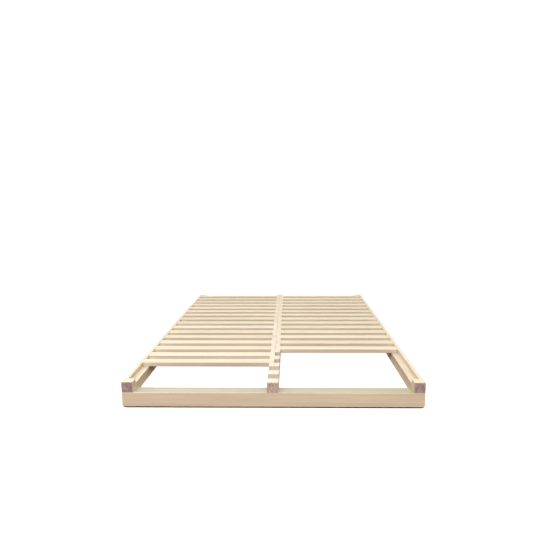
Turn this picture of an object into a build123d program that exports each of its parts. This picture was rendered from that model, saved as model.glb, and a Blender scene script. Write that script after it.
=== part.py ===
"""Slatted wooden bed frame, held together by laps, dowels and gravity alone.

Three cross beams lie on the floor from left to right.  Two side rails and a
centre beam run from front to rear on top of them and are lap-notched over
them.  Loose half-width slats drop into a rabbet in each side rail and into
notches across the centre beam.

Millimetres.  X runs to the right, Y to the rear, Z up.  The origin is the
middle of the footprint, on the floor.
"""
import os

from build123d import *

# ---- overall size --------------------------------------------------------
overall_width = 1400.0          # over the outer faces of the side rails
overall_length = 2000.0         # over the front and rear ends

# ---- cross beams ---------------------------------------------------------
cross_beam_thickness = 62.0     # front to rear
cross_beam_height = 79.0
foot_chamfer = 11.0             # all round the underside

# ---- side rails and centre beam ------------------------------------------
rail_width = 53.0
rail_height = 74.0
lap_depth = 24.0                # how far a rail is let down over a cross beam
lap_clearance = 0.15            # on each side of a cross beam
rim_width = 20.0                # full-height wood outside the slat ends

# ---- slats ---------------------------------------------------------------
slat_rows = 18                  # places for slats along the frame
first_row_left = 3              # the rows in front of this one are empty
first_row_right = 5
slat_width = 57.0
slat_thickness = 22.0
end_block = 46.0                # solid wood in front of row 1 and behind the last
slat_side_clearance = 0.4       # in the notch, on each side
slat_end_clearance = 0.5        # at the rim and at the centre line

# ---- locating dowels -----------------------------------------------------
dowel_diameter = 10.0
dowel_clearance = 0.05          # radial
dowel_in_cross_beam = 22.0
dowel_end_gap = 1.0             # air beyond each end of a dowel
dowel_cover = 11.0              # wood left between a dowel hole and the slats
dowel_chamfer = 1.0

# ---- broken edges --------------------------------------------------------
beam_arris = 2.0
slat_arris = 2.0
cut_arris = 1.0                 # along the rabbet and the notches

# ---- derived -------------------------------------------------------------
front_y = -overall_length / 2
rear_y = overall_length / 2
rail_bottom_z = cross_beam_height - lap_depth
deck_z = rail_bottom_z + rail_height
seat_z = deck_z - slat_thickness
rail_x = (overall_width - rail_width) / 2
rim_inner_x = overall_width / 2 - rim_width
dowel_in_rail = seat_z - cross_beam_height - dowel_cover - dowel_end_gap
slat_span = overall_length - 2 * end_block
row_pitch = (slat_span - slat_width) / (slat_rows - 1)
cross_beam_ys = {
    "front": front_y + cross_beam_thickness / 2,
    "middle": 0.0,
    "rear": rear_y - cross_beam_thickness / 2,
}
rail_xs = {"left": -rail_x, "centre": 0.0, "right": rail_x}


def row_y(row):
    """Middle of a row of slats, counted from the front, starting at 1."""
    return front_y + end_block + slat_width / 2 + (row - 1) * row_pitch


def block(x_range, y_range, z_range):
    """Box between pairs of coordinates."""
    size = [high - low for low, high in (x_range, y_range, z_range)]
    middle = [(high + low) / 2 for low, high in (x_range, y_range, z_range)]
    return Pos(*middle) * Box(*size)


def edges_at(solid, along, **places):
    """Straight edges that run along one axis and lie at the given coordinates."""
    found = solid.edges().filter_by(along)
    for name, value in places.items():
        axis = getattr(Axis, name.upper())
        found = found.filter_by_position(axis, value - 0.01, value + 0.01)
    return found


def upright_hole(x, y, z_range, radius):
    """Solid that cuts one vertical round hole."""
    low, high = z_range
    return Pos(x, y, (low + high) / 2) * Cylinder(radius, high - low)


def dowel_holes(z_range, places):
    """Solids that cut the dowel holes at a list of (x, y) places."""
    radius = dowel_diameter / 2 + dowel_clearance
    return [upright_hole(x, y, z_range, radius) for x, y in places]


def make_cross_beam(y):
    """Beam on the floor: a chamfered foot and one blind hole for each dowel."""
    half_x = overall_width / 2
    half_y = cross_beam_thickness / 2
    beam = block((-half_x, half_x), (y - half_y, y + half_y), (0, cross_beam_height))
    beam = chamfer(beam.faces().sort_by(Axis.Z)[0].edges(), foot_chamfer)
    uprights = beam.edges().filter_by(Axis.Z)
    top = beam.faces().sort_by(Axis.Z)[-1].edges()
    beam = fillet(uprights + top, beam_arris)
    hole_bottom = cross_beam_height - dowel_in_cross_beam - dowel_end_gap
    places = [(x, y) for x in rail_xs.values()]
    return beam - dowel_holes((hole_bottom, cross_beam_height + 1), places)


def lap_cutters(x):
    """Solids that cut a rail's underside where it crosses the cross beams."""
    x_range = (x - rail_width, x + rail_width)
    reach = cross_beam_thickness / 2 + lap_clearance
    cutters = []
    for place, y in cross_beam_ys.items():
        low = front_y - 1 if place == "front" else y - reach
        high = rear_y + 1 if place == "rear" else y + reach
        cutters.append(block(x_range, (low, high), (rail_bottom_z - 1, cross_beam_height)))
    return cutters


def plain_rail(x):
    """Straight length of rail stock with every edge broken."""
    half = rail_width / 2
    rail = block((x - half, x + half), (front_y, rear_y), (rail_bottom_z, deck_z))
    return fillet(rail.edges(), beam_arris)


def with_laps_and_holes(rail, x):
    """The rail with its three laps and the blind dowel holes above them."""
    hole_top = cross_beam_height + dowel_in_rail + dowel_end_gap
    places = [(x, y) for y in cross_beam_ys.values()]
    holes = dowel_holes((cross_beam_height - 1, hole_top), places)
    return rail - lap_cutters(x) - holes


def make_side_rail(side):
    """Rail with a rabbet along its inner top edge that stops short of both ends."""
    x = side * rail_x
    inner_x = side * (rail_x - rail_width / 2)
    wall_x = side * rim_inner_x
    x_range = sorted((inner_x - side, wall_x))
    y_range = (front_y + end_block, rear_y - end_block)
    rail = plain_rail(x) - block(x_range, y_range, (seat_z, deck_z + 1))
    rim_edge = edges_at(rail, Axis.Y, x=wall_x, z=deck_z)
    ledge_edge = edges_at(rail, Axis.Y, x=inner_x, z=seat_z)
    rail = fillet(rim_edge + ledge_edge, cut_arris)
    return with_laps_and_holes(rail, x)


def make_centre_beam():
    """Beam with one notch across its top for each row of slats."""
    beam = plain_rail(0)
    half = slat_width / 2 + slat_side_clearance
    x_range = (-rail_width, rail_width)
    notches = []
    for row in range(1, slat_rows + 1):
        y = row_y(row)
        notches.append(block(x_range, (y - half, y + half), (seat_z, deck_z + 1)))
    beam = beam - notches
    beam = chamfer(edges_at(beam, Axis.X, z=deck_z), cut_arris)
    return with_laps_and_holes(beam, 0)


def make_slat(side, row):
    """Half-width slat from the rim of a side rail to the centre line."""
    x_range = sorted((side * slat_end_clearance, side * (rim_inner_x - slat_end_clearance)))
    y = row_y(row)
    half = slat_width / 2
    slat = block(x_range, (y - half, y + half), (seat_z, deck_z))
    slat = fillet(slat.edges().filter_by(Axis.X), slat_arris)
    ends = [slat.faces().sort_by(Axis.X)[index].edges() for index in (0, -1)]
    return chamfer(ends[0] + ends[1], cut_arris)


def make_dowel(x, y):
    """Upright dowel between a cross beam and a rail."""
    length = dowel_in_cross_beam + dowel_in_rail
    z = cross_beam_height + (dowel_in_rail - dowel_in_cross_beam) / 2
    dowel = Cylinder(dowel_diameter / 2, length)
    dowel = chamfer(dowel.edges().filter_by(GeomType.CIRCLE), dowel_chamfer)
    return Pos(x, y, z) * dowel


def make_parts():
    """Every piece of the frame, by node name."""
    parts = {}
    for place, y in cross_beam_ys.items():
        parts["cross_beam_" + place] = make_cross_beam(y)
    parts["rail_left"] = make_side_rail(-1)
    parts["rail_right"] = make_side_rail(1)
    parts["centre_beam"] = make_centre_beam()
    for place, y in cross_beam_ys.items():
        for side, x in rail_xs.items():
            parts["dowel_%s_%s" % (place, side)] = make_dowel(x, y)
    for row in range(first_row_left, slat_rows + 1):
        parts["slat_left_%02d" % row] = make_slat(-1, row)
    for row in range(first_row_right, slat_rows + 1):
        parts["slat_right_%02d" % row] = make_slat(1, row)
    return parts


os.makedirs("parts", exist_ok=True)
for node, solid in make_parts().items():
    export_step(solid, "parts/%s.step" % node)
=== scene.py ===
"""Looks for the slatted bed frame: bare planed softwood, soft studio light, one camera.

Metres, in the frame's own axes: X to the right, Y to the rear, Z up from the floor.
"""

import math
import random

import bpy
from mathutils import Matrix, Vector


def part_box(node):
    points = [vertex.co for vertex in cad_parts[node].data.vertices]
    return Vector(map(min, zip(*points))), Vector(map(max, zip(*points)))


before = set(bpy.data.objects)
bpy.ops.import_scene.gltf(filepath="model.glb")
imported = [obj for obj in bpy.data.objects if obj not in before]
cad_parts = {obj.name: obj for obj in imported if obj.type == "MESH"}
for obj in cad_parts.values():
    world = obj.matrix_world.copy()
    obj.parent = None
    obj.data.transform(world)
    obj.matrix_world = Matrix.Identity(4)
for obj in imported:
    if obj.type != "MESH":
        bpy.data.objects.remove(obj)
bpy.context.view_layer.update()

MM = 0.001
WHITE = (1.0, 1.0, 1.0)

# ---- camera --------------------------------------------------------------
CAMERA_PLACE = Vector((0.0740, -3.0450, 0.9641))
CAMERA_TURN = math.radians(1.06)        # to the left of straight ahead
CAMERA_DIP = math.radians(9.94)         # below the horizon
CAMERA_ROLL = math.radians(0.27)        # clockwise
CAMERA_LENS = 30.3
CAMERA_SENSOR = 36.0
CAMERA_REACH = 200.0

# ---- lamps ---------------------------------------------------------------
LAMPS = [
    {"name": "front", "place": (-0.4, -2.4, 1.9), "aim": (0.0, -0.9, 0.0), "size": (5.0, 1.2),
     "watts": 101.0, "colour": (0.98, 0.98, 0.95)},
    {"name": "top", "place": (-0.2, -1.5, 3.0), "aim": (0.0, -0.6, 0.0), "size": (6.4, 1.6),
     "watts": 50.0, "colour": (0.92, 1.02, 1.40)},
    {"name": "rear", "place": (0.0, 2.4, 2.8), "aim": (0.0, 0.8, 0.0), "size": (5.0, 2.0),
     "watts": 118.0, "colour": (0.97, 0.99, 1.0)},
    {"name": "backdrop", "place": (0.0, 5.5, 1.4), "aim": (0.0, 0.0, 0.3), "size": (9.0, 2.6),
     "watts": 45.0, "colour": WHITE},
] + [
    {"name": "side", "place": (x, -0.6, 1.6), "aim": (0.0, -0.3, 0.0), "size": (3.0, 1.2),
     "watts": 67.0, "colour": (1.0, 0.81, 0.76)}
    for x in (-4.0, 4.0)
]

# ---- surround ------------------------------------------------------------
SURROUND_LIGHT = (1.0, 0.60, 0.48)      # what the wood gets from it
SURROUND_STRENGTH = 0.13
SURROUND_SEEN = 1.1                     # brightness to the camera

# ---- floor ---------------------------------------------------------------
FLOOR_HALF = 40.0
FLOOR_DROP = 0.2 * MM                   # keeps it clear of the feet
FLOOR_BOUNCE_LOW = (0.115, 0.040, 0.032)    # what it throws back at the wood
FLOOR_BOUNCE_HIGH = (0.135, 0.050, 0.040)
FLOOR_PAINT_LOW = (0.39, 0.39, 0.39)    # what the camera sees, besides the glow
FLOOR_PAINT_HIGH = (0.40, 0.40, 0.40)
FLOOR_MOTTLE_RATE = (3.0, 3.0, 3.0)
FLOOR_GLOW_FROM = 1.2                   # distances from the middle of the frame
FLOOR_GLOW_TO = 3.0
FLOOR_GLOW_NEAR = 0.85
FLOOR_GLOW_FAR = 1.1

# ---- wood colours (linear) -----------------------------------------------
CREAM = (0.74, 0.645, 0.465)
STRAW = (0.655, 0.60, 0.36)
ROSE = (0.68, 0.52, 0.38)
PALE = (0.70, 0.665, 0.535)
LATE = (0.50, 0.34, 0.20)               # the dark part of a growth ring
# painted bounce light on end grain inside notches
PAINTED_NOTCH_LIGHT = (0.50, 0.45, 0.39)
# pale wood for worn arrises, and painted highlight on arrises and above the foot chamfer
WEAR_AND_HIGHLIGHT = (0.80, 0.70, 0.54)
END_LIGHT = (0.57, 0.445, 0.38)
END_DARK = (0.21, 0.15, 0.135)
# painted shade: grey on the foot chamfer, which faces the floor
PAINTED_FOOT_SHADE = (0.20, 0.22, 0.21)

# ---- wood figure: frequencies per metre along, across and through a piece --
WANDER_RATE = (0.8, 0.0, 0.0)
RIPPLE_RATE = (1.6, 12.0, 12.0)
RING_WIDTH_RATE = (45.0, 0.0, 0.0)
FIBRE_RATE = (11.0, 900.0, 900.0)
STREAK_RATE = (2.2, 130.0, 130.0)
BAND_RATE = (0.5, 16.0, 16.0)
PATCH_RATE = (1.6, 5.0, 5.0)
PORE_RATE = (40.0, 620.0, 620.0)
BLOTCH_RATE = (10.0, 95.0, 95.0)

# ---- wood figure: smooth ramps (from, to, result before, result after) ----
RING_DARKENS = (0.30, 0.90, 0.0, 1.0)               # of the way through one ring
RING_ENDS = (0.93, 1.0, 1.0, 0.0)
STRAW_BANDS = (0.38, 0.62, 0.0, 1.0)                # of a noise
ROSE_PATCHES = (0.40, 0.68, 0.0, 1.0)
STREAK_SHADE = (0.30, 0.72, 0.93, 1.05)
FIBRE_SHADE = (0.25, 0.75, 0.95, 1.04)
FIBRE_ROUGHNESS = (0.2, 0.8, 0.44, 0.56)
PORE_DARKNESS = (0.35, 0.70, 0.0, 0.35)
BLOTCH_DARKNESS = (0.35, 0.68, 0.0, 0.50)
END_FACING = (0.74, 0.92, 0.0, 1.0)                 # of how squarely a face looks along the grain
# painted bounce light: paler end grain inside notches
PAINTED_NOTCH_LIGHT_RAMP = (2.0 * MM, 6.0 * MM, 0.0, 0.75)       # of the distance from the end of the piece
# partly wear, partly painted highlight: lighter near every arris
ARRIS_WEAR_AND_HIGHLIGHT = (1.0 * MM, 4.5 * MM, 1.0, 0.0)       # of the distance from an arris
# painted highlight: a lighter line along the top of the foot chamfer
PAINTED_HIGHLIGHT_LINE = (0.5 * MM, 3.0 * MM, 1.0, 0.0)          # of the distance from the line
# painted shade: where the foot chamfer turns grey
PAINTED_FOOT_SHADE_RAMP = (-1.0 * MM, 0.0, 1.0, 0.0)             # of the height above the foot chamfer

# ---- wood figure: distances and strengths --------------------------------
WANDER = 30.0 * MM                      # how far the pith strays along a piece
RIPPLE = 3.0 * MM                       # how far one ring strays
RING_UNEVENNESS = 2.2                   # in rings
# width and strength of the lighter arrises: wear and painted highlight
ARRIS_WEAR_AND_HIGHLIGHT_UNEVENNESS = 1.5 * MM
ARRIS_WEAR_AND_HIGHLIGHT_STRENGTH = 0.20
PAINTED_HIGHLIGHT_LINE_HEIGHT = 1.5 * MM             # above the foot chamfer
FOOT_CHAMFER = 11.0 * MM                # as in the CAD
LATE_DARKNESS_AT_END = 0.55
HEART_UNEVENNESS = 0.2
RUB_POLISH = 0.10                       # taken off the roughness
END_ROUGHER = 0.18                      # added to the roughness
FIBRE_RELIEF = 0.5                      # parts of the bump's height
RING_RELIEF = 0.35
PORE_RELIEF = 1.3
BUMP_DEPTH = 0.35 * MM
BUMP_STRENGTH = 0.35

# ---- how the pieces differ -----------------------------------------------
LOOK_SEED = 12
SEED_REACH = 40.0                       # how far the noise is moved, at most
PITH_SIDEWAYS = 0.03                    # either way, at most
PITH_DEPTH = (0.04, 0.12)               # below the middle of a level piece


class Tree:
    """Adds nodes to one shader tree and links them."""

    def __init__(self, tree):
        self.tree = tree

    def add(self, kind, inputs=(), **settings):
        node = self.tree.nodes.new("ShaderNode" + kind)
        for name, value in settings.items():
            setattr(node, name, value)
        for name, value in dict(inputs).items():
            self.feed(node.inputs[name], value)
        return node

    def feed(self, socket, value):
        if isinstance(value, bpy.types.NodeSocket):
            self.tree.links.new(value, socket)
        elif isinstance(value, (tuple, list)) and len(socket.default_value) == 4:
            socket.default_value = tuple(value)[:3] + (1.0,)
        else:
            socket.default_value = value

    def math(self, operation, a, b=0.0):
        node = self.add("Math", operation=operation)
        for socket, value in zip(node.inputs, (a, b)):
            self.feed(socket, value)
        return node.outputs[0]

    def vector(self, operation, a, b=(0.0, 0.0, 0.0)):
        node = self.add("VectorMath", operation=operation)
        self.feed(node.inputs[0], a)
        self.feed(node.inputs[1], b)
        return node.outputs["Value" if operation in ("LENGTH", "DOT_PRODUCT") else "Vector"]

    def split(self, vector):
        return self.add("SeparateXYZ", {"Vector": vector}).outputs

    def noise_node(self, place, rate, detail, roughness=0.5):
        return self.add("TexNoise", {"Vector": self.vector("MULTIPLY", place, rate),
                                     "Scale": 1.0, "Detail": detail, "Roughness": roughness})

    def noise(self, place, rate, detail=2.0, roughness=0.5):
        """Noise from 0 to 1 with its own frequency, per metre, along each axis."""
        return self.noise_node(place, rate, detail, roughness).outputs["Fac"]

    def sway(self, place, rate, detail, reach):
        """Offset across a piece, up to half of reach either way."""
        colour = self.noise_node(place, rate, detail).outputs["Color"]
        centred = self.vector("SUBTRACT", colour, (0.5, 0.5, 0.5))
        return self.vector("MULTIPLY", centred, (0.0, reach, reach))

    def smooth(self, value, low, high, out_low, out_high):
        node = self.add("MapRange", interpolation_type="SMOOTHSTEP")
        for socket, setting in zip(node.inputs, (value, low, high, out_low, out_high)):
            self.feed(socket, setting)
        return node.outputs[0]

    def mix(self, factor, a, b, blend="MIX"):
        node = self.add("Mix", data_type="RGBA", blend_type=blend)
        self.feed(node.inputs["Factor"], factor)
        self.feed(node.inputs[6], a)
        self.feed(node.inputs[7], b)
        return node.outputs[2]

    def partly(self, mask, strength, a, b):
        """Colour a, going over to b by strength where the mask is 1."""
        return self.mix(self.math("MULTIPLY", mask, strength), a, b)

    def shaded(self, colour, value):
        grey = self.add("CombineColor", {"Red": value, "Green": value, "Blue": value}).outputs[0]
        return self.mix(1.0, colour, grey, "MULTIPLY")


TIMBER_INPUTS = [
    ("Position", "Vector"),             # from the middle of the piece, X along the grain
    ("Seed", "Vector"),
    ("Half size", "Vector"),
    ("Normal", "Vector"),
    ("Pith", "Vector"),                 # where the middle of the tree was
    ("Ring", "Float"),                  # width of one growth ring
    ("Figure", "Float"),                # how dark the rings are
    ("Tone", "Float"),                  # brightness of the long grain
    ("Straw", "Float"),                 # how far it turns yellow in bands
    ("Blush", "Float"),                 # how far it turns pink in patches
    ("Pale", "Float"),                  # how far it turns white all over
    ("Heart", "Vector"),                # towards the darker side of the piece
    ("Heart from", "Float"),
    ("Heart loss", "Float"),
    ("Foot", "Float"),                  # height of the foot chamfer
    ("Foot shade and highlight", "Float"),                 # how strong the painted shade on the foot chamfer and the painted highlight above it are
    ("End tone", "Float"),              # brightness of the end grain
]
TIMBER_OUTPUTS = [("Color", "Color"), ("Roughness", "Float"), ("Height", "Float")]


def new_group(name, inputs, outputs):
    """Empty node group, its Tree, its input sockets and its output node."""
    group = bpy.data.node_groups.new(name, "ShaderNodeTree")
    for label, kind in inputs:
        group.interface.new_socket(label, in_out="INPUT", socket_type="NodeSocket" + kind)
    for label, kind in outputs:
        group.interface.new_socket(label, in_out="OUTPUT", socket_type="NodeSocket" + kind)
    start = group.nodes.new("NodeGroupInput")
    end = group.nodes.new("NodeGroupOutput")
    return group, Tree(group), start.outputs, end


def ring_mask(t, given, seeded):
    """Late wood of the growth rings, round a pith that wanders along the piece."""
    wander = t.sway(seeded, WANDER_RATE, 1.0, WANDER)
    ripple = t.sway(seeded, RIPPLE_RATE, 2.0, RIPPLE)
    across = t.vector("MULTIPLY", given["Position"], (0.0, 1.0, 1.0))
    strayed = t.vector("ADD", across, t.vector("ADD", wander, ripple))
    radius = t.vector("LENGTH", t.vector("SUBTRACT", strayed, given["Pith"]))
    along_radius = t.add("CombineXYZ", {"X": radius}).outputs[0]
    uneven = t.noise(along_radius, RING_WIDTH_RATE, 1.0)
    phase = t.math("ADD", t.math("DIVIDE", radius, given["Ring"]),
                   t.math("MULTIPLY", uneven, RING_UNEVENNESS))
    ring = t.math("FRACT", phase)
    rise = t.smooth(ring, *RING_DARKENS)
    fall = t.smooth(ring, *RING_ENDS)
    return t.math("MULTIPLY", rise, fall)


def long_grain(t, given, noises, late):
    """Colour along the grain: bands, patches, rings, streaks and fibres."""
    straw = t.smooth(noises["band"], *STRAW_BANDS)
    rose = t.smooth(noises["patch"], *ROSE_PATCHES)
    colour = t.partly(straw, given["Straw"], CREAM, STRAW)
    colour = t.partly(rose, given["Blush"], colour, ROSE)
    colour = t.mix(given["Pale"], colour, PALE)
    colour = t.partly(late, given["Figure"], colour, LATE)
    streak_shade = t.smooth(noises["streak"], *STREAK_SHADE)
    fibre_shade = t.smooth(noises["fibre"], *FIBRE_SHADE)
    return t.shaded(colour, t.math("MULTIPLY", streak_shade, fibre_shade))


def end_grain(t, given, noises, late, from_end):
    """Colour across the grain: darker and mottled, with painted bounce light that makes it paler
    inside notches, away from the ends of the piece.
    """
    pores = t.smooth(noises["pores"], *PORE_DARKNESS)
    blotches = t.smooth(noises["blotch"], *BLOTCH_DARKNESS)
    rings = t.math("MULTIPLY", late, LATE_DARKNESS_AT_END)
    dark = t.math("ADD", t.math("ADD", rings, pores), blotches)
    colour = t.mix(t.math("MINIMUM", dark, 1.0), END_LIGHT, END_DARK)
    colour = t.shaded(colour, given["End tone"])
    # painted bounce light: end grain inside notches is painted paler
    notch_light = t.smooth(from_end, *PAINTED_NOTCH_LIGHT_RAMP)
    return t.mix(notch_light, colour, PAINTED_NOTCH_LIGHT)


def paint_foot_shade_and_highlight(t, given, colour):
    """Painted shade: grey on the foot chamfer. Painted highlight: a lighter line just above it.
    """
    above_floor = t.split(t.vector("ADD", given["Position"], given["Half size"]))["Z"]
    above_foot = t.math("SUBTRACT", above_floor, given["Foot"])
    from_line = t.math("ABSOLUTE", t.math("SUBTRACT", above_foot, PAINTED_HIGHLIGHT_LINE_HEIGHT))
    # painted highlight: a lighter line just above the foot chamfer
    painted_highlight = t.smooth(from_line, *PAINTED_HIGHLIGHT_LINE)
    colour = t.partly(painted_highlight, given["Foot shade and highlight"], colour, WEAR_AND_HIGHLIGHT)
    # painted shade: the foot chamfer is painted grey
    foot_shade = t.smooth(above_foot, *PAINTED_FOOT_SHADE_RAMP)
    return t.partly(foot_shade, given["Foot shade and highlight"], colour, PAINTED_FOOT_SHADE)


def heart_shade(t, given, patch):
    """Brightness of the long grain: lower on the side that lay nearer the heart."""
    towards = t.vector("DOT_PRODUCT", given["Position"], given["Heart"])
    towards = t.math("ADD", towards, t.math("MULTIPLY", patch, HEART_UNEVENNESS))
    heart = t.smooth(t.math("SUBTRACT", towards, given["Heart from"]), 0.0, 1.0, 0.0, 1.0)
    loss = t.math("MULTIPLY", heart, given["Heart loss"])
    return t.math("MULTIPLY", t.math("SUBTRACT", 1.0, loss), given["Tone"])


def make_timber_group():
    """Solid softwood, cut from one kind of tree."""
    group, t, given, end = new_group("timber", TIMBER_INPUTS, TIMBER_OUTPUTS)
    seeded = t.vector("ADD", given["Position"], given["Seed"])
    noises = {
        "fibre": t.noise(seeded, FIBRE_RATE, 3.0, 0.6),
        "streak": t.noise(seeded, STREAK_RATE, 2.0, 0.55),
        "band": t.noise(seeded, BAND_RATE, 1.0),
        "patch": t.noise(seeded, PATCH_RATE, 2.0),
        "pores": t.noise(seeded, PORE_RATE, 3.0, 0.65),
        "blotch": t.noise(seeded, BLOTCH_RATE, 2.0),
    }
    late = ring_mask(t, given, seeded)
    facing_end = t.math("ABSOLUTE", t.split(given["Normal"])["X"])
    is_end = t.smooth(facing_end, *END_FACING)
    inward = t.split(t.vector("SUBTRACT", given["Half size"],
                              t.vector("ABSOLUTE", given["Position"])))

    to_arris = t.math("ADD", t.math("MAXIMUM", inward["Y"], inward["Z"]),
                      t.math("MULTIPLY", noises["streak"], ARRIS_WEAR_AND_HIGHLIGHT_UNEVENNESS))
    # lighter near arrises: real wear, and painted highlight
    arris_wear_and_highlight = t.smooth(to_arris, *ARRIS_WEAR_AND_HIGHLIGHT)

    along = long_grain(t, given, noises, late)
    along = t.partly(arris_wear_and_highlight, ARRIS_WEAR_AND_HIGHLIGHT_STRENGTH, along, WEAR_AND_HIGHLIGHT)
    along = paint_foot_shade_and_highlight(t, given, along)
    along = t.shaded(along, heart_shade(t, given, noises["patch"]))
    across = end_grain(t, given, noises, late, inward["X"])

    rough = t.smooth(noises["fibre"], *FIBRE_ROUGHNESS)
    rough = t.math("SUBTRACT", rough, t.math("MULTIPLY", arris_wear_and_highlight, RUB_POLISH))
    rough = t.math("ADD", rough, t.math("MULTIPLY", is_end, END_ROUGHER))
    height = t.math("ADD", t.math("MULTIPLY", noises["fibre"], FIBRE_RELIEF),
                    t.math("MULTIPLY", late, RING_RELIEF))
    open_pores = t.math("MULTIPLY", noises["pores"], is_end)
    height = t.math("ADD", height, t.math("MULTIPLY", open_pores, PORE_RELIEF))

    t.feed(end.inputs["Color"], t.mix(is_end, along, across))
    t.feed(end.inputs["Roughness"], rough)
    t.feed(end.inputs["Height"], height)
    return group


def grain_order(size):
    """Axes of a piece with the longest one first."""
    longest = max(range(3), key=lambda axis: size[axis])
    return [(0, 1, 2), (1, 0, 2), (2, 0, 1)][longest]


def timber_material(name, node, group, look, rng):
    """One piece's own cut of the wood: grain along its longest side."""
    low, high = (Vector(corner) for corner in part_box(node))
    size = high - low
    order = grain_order(size)
    material = bpy.data.materials.new(name)
    material.use_nodes = True
    material.node_tree.nodes.clear()
    t = Tree(material.node_tree)
    coords = t.add("TexCoord").outputs

    def turned(vector):
        parts = t.split(vector)
        return t.add("CombineXYZ", {"X": parts[order[0]], "Y": parts[order[1]],
                                    "Z": parts[order[2]]}).outputs[0]

    timber = t.add("Group", node_tree=group)
    settings = {
        "Position": turned(t.vector("SUBTRACT", coords["Object"], tuple((low + high) / 2))),
        "Seed": tuple(rng.uniform(-SEED_REACH, SEED_REACH) for _ in range(3)),
        "Half size": tuple(size[axis] / 2 for axis in order),
        "Normal": turned(coords["Normal"]),
        **look,
    }
    for label, value in settings.items():
        t.feed(timber.inputs[label], value)
    bump = t.add("Bump", {"Strength": BUMP_STRENGTH, "Distance": BUMP_DEPTH,
                          "Height": timber.outputs["Height"]})
    shader = t.add("BsdfPrincipled", {
        "Base Color": timber.outputs["Color"], "Roughness": timber.outputs["Roughness"],
        "Normal": bump.outputs[0], "IOR": 1.5, "Specular IOR Level": 0.5})
    output = t.add("OutputMaterial", {"Surface": shader.outputs[0]})
    output.is_active_output = True
    return material


def slat_look(rng):
    """Every slat is cut from its own board."""
    return {
        "Ring": rng.uniform(2.6, 4.2) * MM,
        "Tone": rng.uniform(0.80, 0.87),
        "Figure": rng.uniform(0.08, 0.16),
        "Straw": rng.uniform(0.2, 0.8),
        "Blush": rng.uniform(0.2, 0.6),
        "Pale": rng.uniform(0.0, 0.2),
        "End tone": 0.85,
    }


def cross_beam_look(node):
    """Yellow, darker away from the outer face, with painted shade on the foot chamfer and a
    painted highlight just above it.
    """
    inward = -1.0 if node.endswith("rear") else 1.0
    return {
        "Tone": 1.03,
        "Straw": 1.0,
        "Blush": 0.1,
        "Heart": (0.0, inward / (3.0 * MM), 0.0),
        "Heart from": -10.3,            # just inside the outer face
        "Heart loss": 0.50,
        "Foot": FOOT_CHAMFER,
        # strength of the painted shade on the foot chamfer and of the painted highlight above it
        "Foot shade and highlight": 0.6,
    }


def look_of(node, rng):
    """How one piece of timber was cut: settings of the timber group."""
    look = {
        "Pith": (0.0, rng.uniform(-PITH_SIDEWAYS, PITH_SIDEWAYS), -rng.uniform(*PITH_DEPTH)),
        "Ring": 4.2 * MM,
        "Tone": 0.84,
        "Figure": 0.16,
        "Straw": 0.45,
        "Blush": 0.25,
        "Pale": 0.0,
        "Heart": (0.0, 0.0, 0.0),
        "Heart from": 0.0,
        "Heart loss": 0.0,
        "Foot": 0.0,
        "Foot shade and highlight": 0.0,
        "End tone": 1.0,
    }
    if node.startswith("slat"):
        look.update(slat_look(rng))
    elif node.startswith("dowel"):
        look.update({"Ring": 2.0 * MM, "Tone": 0.75})
    elif node.startswith("cross_beam"):
        look.update(cross_beam_look(node))
    elif node.startswith("rail"):
        look.update({"Tone": 0.98, "Heart": (0.0, 0.0, 1.0 / (35.0 * MM)),
                     "Heart from": -0.9, "Heart loss": 0.17})
    elif node == "centre_beam":
        # its paler end grain is partly painted bounce light in the notches
        look.update({"Tone": 0.82, "Blush": 0.0, "Pale": 0.5, "End tone": 1.4})
    return look


def finish_pieces():
    """Gives every CAD node a material cut from the same kind of timber."""
    group = make_timber_group()
    rng = random.Random(LOOK_SEED)
    for node, piece in sorted(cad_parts.items()):
        material = timber_material("wood_" + node, node, group, look_of(node, rng), rng)
        piece.data.materials.clear()
        piece.data.materials.append(material)


def split_by_ray(t, others, camera):
    """Shader that is one thing to camera rays and another to the light that bounces."""
    mixed = t.add("MixShader")
    t.feed(mixed.inputs[0], t.add("LightPath").outputs["Is Camera Ray"])
    t.feed(mixed.inputs[1], others.outputs[0])
    t.feed(mixed.inputs[2], camera.outputs[0])
    return mixed.outputs[0]


def floor_material():
    """Matt white sweep, overexposed as in a cut-out product shot, with a very faint mottle."""
    material = bpy.data.materials.new("floor_paint")
    material.use_nodes = True
    material.node_tree.nodes.clear()
    t = Tree(material.node_tree)
    place = t.add("TexCoord").outputs["Object"]
    mottle = t.noise(place, FLOOR_MOTTLE_RATE, 3.0)
    bounce = t.add("BsdfDiffuse", {"Color": t.mix(mottle, FLOOR_BOUNCE_LOW, FLOOR_BOUNCE_HIGH)})
    paint = t.add("BsdfDiffuse", {"Color": t.mix(mottle, FLOOR_PAINT_LOW, FLOOR_PAINT_HIGH)})
    glow_strength = t.smooth(t.vector("LENGTH", place), FLOOR_GLOW_FROM, FLOOR_GLOW_TO,
                             FLOOR_GLOW_NEAR, FLOOR_GLOW_FAR)
    glow = t.add("Emission", {"Color": WHITE, "Strength": glow_strength})
    lit = t.add("AddShader")
    t.feed(lit.inputs[0], paint.outputs[0])
    t.feed(lit.inputs[1], glow.outputs[0])
    t.add("OutputMaterial", {"Surface": split_by_ray(t, bounce, lit)})
    return material


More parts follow.
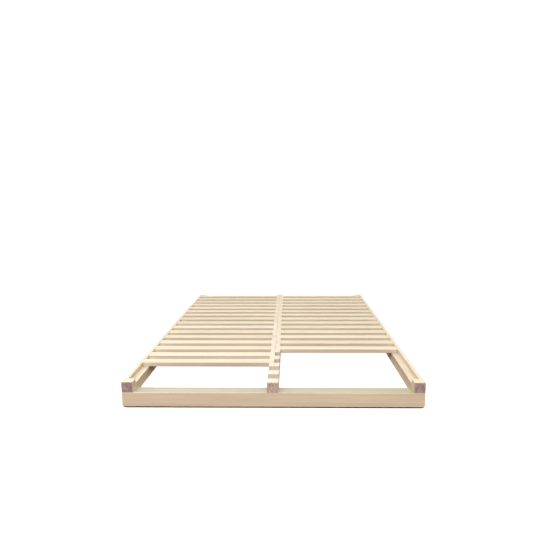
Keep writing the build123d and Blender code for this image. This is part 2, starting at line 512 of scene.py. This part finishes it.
def make_floor():
    """Large pale floor, level with the underside of the cross beams."""
    half = FLOOR_HALF
    mesh = bpy.data.meshes.new("floor")
    corners = [(-half, -half, 0), (half, -half, 0), (half, half, 0), (-half, half, 0)]
    mesh.from_pydata(corners, [], [(0, 1, 2, 3)])
    floor = bpy.data.objects.new("floor", mesh)
    bpy.context.scene.collection.objects.link(floor)
    floor.location.z = -FLOOR_DROP
    floor.data.materials.append(floor_material())


def make_lamp(name, place, aim, size, watts, colour):
    """Soft rectangular lamp aimed at a point and not seen by the camera."""
    data = bpy.data.lights.new(name, "AREA")
    data.shape = "RECTANGLE"
    data.size, data.size_y = size
    data.energy = watts
    data.color = colour
    lamp = bpy.data.objects.new(name, data)
    bpy.context.scene.collection.objects.link(lamp)
    lamp.location = place
    lamp.visible_camera = False
    lamp.rotation_euler = (Vector(aim) - Vector(place)).to_track_quat("-Z", "Y").to_euler()


def make_surround():
    """Dim warm light from all round, white to the camera."""
    world = bpy.data.worlds.new("studio")
    bpy.context.scene.world = world
    world.use_nodes = True
    world.node_tree.nodes.clear()
    t = Tree(world.node_tree)
    seen = t.add("Background", {"Color": WHITE, "Strength": SURROUND_SEEN})
    lit = t.add("Background", {"Color": SURROUND_LIGHT, "Strength": SURROUND_STRENGTH})
    t.add("OutputWorld", {"Surface": split_by_ray(t, lit, seen)})


def make_camera():
    """Camera at the height and angle of a person looking down at the foot of the bed."""
    data = bpy.data.cameras.new("camera")
    data.sensor_width = CAMERA_SENSOR
    data.lens = CAMERA_LENS
    data.clip_end = CAMERA_REACH
    camera = bpy.data.objects.new("camera", data)
    bpy.context.scene.collection.objects.link(camera)
    upright = Matrix.Rotation(math.pi / 2, 4, "X")
    turn = Matrix.Rotation(CAMERA_TURN, 4, "Z")
    dip = Matrix.Rotation(-CAMERA_DIP, 4, "X")
    roll = Matrix.Rotation(CAMERA_ROLL, 4, "Y")
    camera.matrix_world = Matrix.Translation(CAMERA_PLACE) @ turn @ dip @ roll @ upright
    bpy.context.scene.camera = camera


def set_view_transform():
    """Plain sRGB, so that the white surround stays white."""
    scene = bpy.context.scene
    scene.view_settings.view_transform = "Standard"
    scene.view_settings.look = "None"
    scene.view_settings.exposure = 0.0
    scene.view_settings.gamma = 1.0


make_camera()
finish_pieces()
make_floor()
for lamp in LAMPS:
    make_lamp(**lamp)
make_surround()
set_view_transform()
